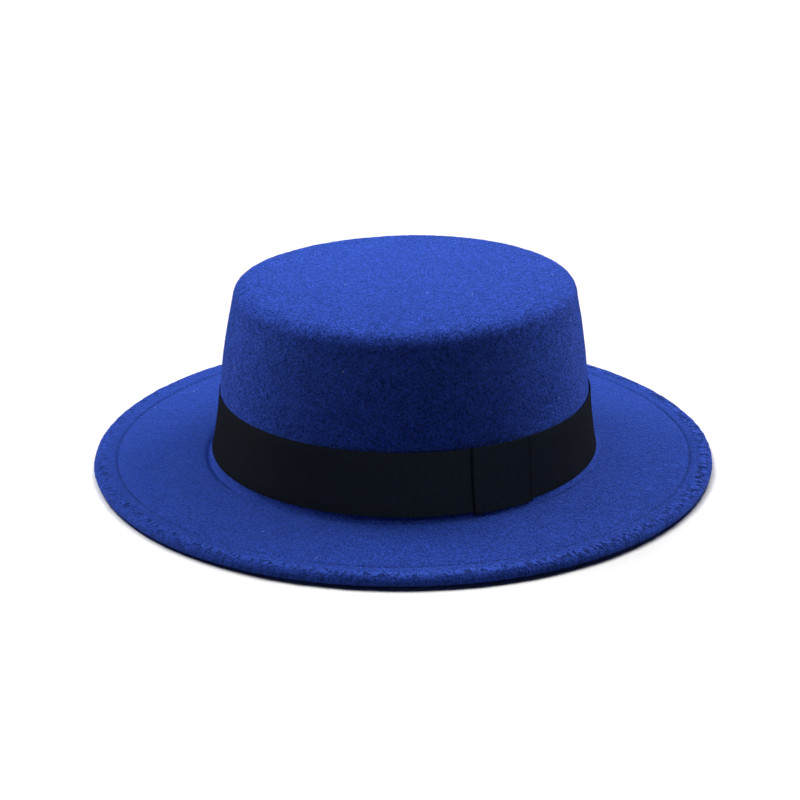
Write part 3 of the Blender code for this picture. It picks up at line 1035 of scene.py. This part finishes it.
def make_ribbon_material():
    """Matt black ribbed ribbon, its ribs standing across its length."""
    material, tree, surface = new_material("black ribbon")
    place = tree.nodes.new("ShaderNodeTexCoord")
    parts = tree.nodes.new("ShaderNodeSeparateXYZ")
    tree.links.new(place.outputs["Object"], parts.inputs["Vector"])
    across = math_node(tree, "DIVIDE", parts.outputs["X"], band_high.x)
    along = math_node(tree, "DIVIDE", parts.outputs["Y"], band_high.y)
    angle = math_node(tree, "ARCTAN2", along, across)
    ribs = math_node(tree, "SINE", math_node(tree, "MULTIPLY", angle, RIB_COUNT))
    grain = noise(tree, 1500.0, 2.0, 0.6)
    tree.links.new(place.outputs["Object"], grain.inputs["Vector"])
    height = math_node(tree, "ADD", ribs, grain.outputs["Fac"])
    bump = tree.nodes.new("ShaderNodeBump")
    bump.inputs["Strength"].default_value = 1.0
    bump.inputs["Distance"].default_value = RIB_RELIEF
    tree.links.new(height, bump.inputs["Height"])
    tree.links.new(bump.outputs["Normal"], surface.inputs["Normal"])
    shade = tree.nodes.new("ShaderNodeValToRGB")
    shade.color_ramp.elements[0].position = 0.25
    shade.color_ramp.elements[0].color = (*RIBBON_DARK, 1.0)
    shade.color_ramp.elements[1].position = 0.75
    shade.color_ramp.elements[1].color = (*RIBBON_LIGHT, 1.0)
    tree.links.new(grain.outputs["Fac"], shade.inputs["Fac"])
    # painted shade: the marked ends of the tab are darkened
    side_weight = tree.nodes.new("ShaderNodeAttribute")
    side_weight.attribute_name = "side_weight"
    edged = tree.nodes.new("ShaderNodeMix")
    edged.data_type = "RGBA"
    edged.inputs["B"].default_value = (*RIBBON_EDGE_SHADE, 1.0)
    tree.links.new(side_weight.outputs["Fac"], edged.inputs["Factor"])
    tree.links.new(shade.outputs["Color"], edged.inputs["A"])
    tree.links.new(edged.outputs["Result"], surface.inputs["Base Color"])
    surface.inputs["Diffuse Roughness"].default_value = 1.0
    surface.inputs["Roughness"].default_value = 0.85
    surface.inputs["Specular IOR Level"].default_value = 0.04
    return material


def make_floor():
    """A plain white floor whose bounce is held down, as dark cards around the hat would."""
    deselect_all()
    bpy.ops.mesh.primitive_plane_add(size=FLOOR_SIZE, location=(0.0, 0.0, 0.0))
    floor = bpy.context.object
    floor.name = "floor"
    material, tree, surface = new_material("white floor")
    paths = tree.nodes.new("ShaderNodeLightPath")
    tone = tree.nodes.new("ShaderNodeMix")
    tone.data_type = "RGBA"
    place = tree.nodes.new("ShaderNodeTexCoord")
    away = tree.nodes.new("ShaderNodeVectorMath")
    away.operation = "LENGTH"
    tree.links.new(place.outputs["Object"], away.inputs[0])
    far = smooth_range(tree, away.outputs["Value"], *BOUNCE_SPAN)
    near = math_node(tree, "SUBTRACT", 1.0, far)
    bounce = math_node(tree, "MULTIPLY", near, FLOOR_BOUNCE)
    bounce = math_node(tree, "ADD", bounce, FLOOR_BOUNCE_FAR)
    tree.links.new(bounce, tone.inputs["A"])
    tone.inputs["B"].default_value = (FLOOR_WHITE, FLOOR_WHITE, FLOOR_WHITE, 1.0)
    tree.links.new(paths.outputs["Is Camera Ray"], tone.inputs["Factor"])
    tree.links.new(tone.outputs["Result"], surface.inputs["Base Color"])
    surface.inputs["Roughness"].default_value = 1.0
    surface.inputs["Specular IOR Level"].default_value = 0.0
    floor.data.materials.append(material)
    return floor


def make_world():
    """A white backdrop for the camera and a faint fill for everything else."""
    world = bpy.data.worlds.new("studio")
    bpy.context.scene.world = world
    world.use_nodes = True
    tree = world.node_tree
    back = tree.nodes["Background"]
    paths = tree.nodes.new("ShaderNodeLightPath")
    level = math_node(tree, "MULTIPLY", paths.outputs["Is Camera Ray"], 1.0 - WORLD_FILL)
    tree.links.new(math_node(tree, "ADD", level, WORLD_FILL), back.inputs["Strength"])
    back.inputs["Color"].default_value = (1.0, 1.0, 1.0, 1.0)


def aim_light_at(light, pieces, state):
    """Make a light fall on some pieces alone, or on everything but them."""
    receivers = bpy.data.collections.new(light.name + " receivers")
    for piece in pieces:
        receivers.objects.link(piece)
    for entry in receivers.collection_objects:
        entry.light_linking.link_state = state
    light.light_linking.receiver_collection = receivers


def add_panel(name, place, aim, size, power):
    """A soft rectangular light that faces a point."""
    lamp = bpy.data.lights.new(name, "AREA")
    lamp.shape = "RECTANGLE"
    lamp.size, lamp.size_y = size
    lamp.energy = power
    panel = bpy.data.objects.new(name, lamp)
    panel.location = place
    panel.rotation_euler = (Vector(aim) - Vector(place)).to_track_quat("-Z", "Y").to_euler()
    panel.visible_camera = False
    bpy.context.scene.collection.objects.link(panel)
    return panel


def add_floor_light(floor, name, heading, strength):
    """A light for the floor alone, which whitens it around the hat's shadow."""
    lamp = bpy.data.lights.new(name, "SUN")
    lamp.energy = strength
    lamp.angle = FLOOR_LIGHT_SPREAD
    light = bpy.data.objects.new(name, lamp)
    light.rotation_euler = Vector(heading).to_track_quat("-Z", "Y").to_euler()
    bpy.context.scene.collection.objects.link(light)
    aim_light_at(light, [floor], "INCLUDE")


def make_camera():
    """The camera at the photograph's place."""
    data = bpy.data.cameras.new("camera")
    data.sensor_width = 36.0
    data.lens = CAMERA_LENS
    camera = bpy.data.objects.new("camera", data)
    bpy.context.scene.collection.objects.link(camera)
    place = Vector((
        CAMERA_DISTANCE * math.sin(CAMERA_AZIMUTH),
        -CAMERA_DISTANCE * math.cos(CAMERA_AZIMUTH),
        CAMERA_HEIGHT,
    ))
    camera.location = place
    camera.rotation_mode = "QUATERNION"
    look = (Vector(CAMERA_AIM) - place).to_track_quat("-Z", "Y")
    camera.rotation_quaternion = look @ Quaternion((0.0, 0.0, 1.0), CAMERA_ROLL)
    bpy.context.scene.camera = camera


make_camera()
make_world()
studio_floor = make_floor()
bpy.context.scene.view_settings.view_transform = "Standard"

matted = make_felt_group()
creased = make_crease_group()
felt = make_felt_material(matted, creased)
ribbon_finish = make_ribbon_material()
hat = make_felt_hat(felt)
nap = make_nap(hat, make_nap_material())
stitches = make_stitches(make_thread_material())
ribbon = make_ribbon(ribbon_finish)
tab = make_tab(ribbon_finish)

for light in FLOOR_LIGHTS:
    add_floor_light(studio_floor, **light)
aim_light_at(add_panel(**OVERHEAD_PANEL), [studio_floor], "EXCLUDE")
for panel in BACK_PANELS:
    light = add_panel(aim=SIDE_AIM, size=SIDE_SIZE, **panel)
    aim_light_at(light, [studio_floor], "EXCLUDE")
for panel in EDGE_PANELS:
    light = add_panel(aim=SIDE_AIM, size=SIDE_SIZE, **panel)
    aim_light_at(light, [studio_floor, ribbon, tab], "EXCLUDE")
aim_light_at(add_panel(**FELT_FILL), [hat, nap, stitches], "INCLUDE")
aim_light_at(add_panel(**RIBBON_FILL), [ribbon, tab], "INCLUDE")
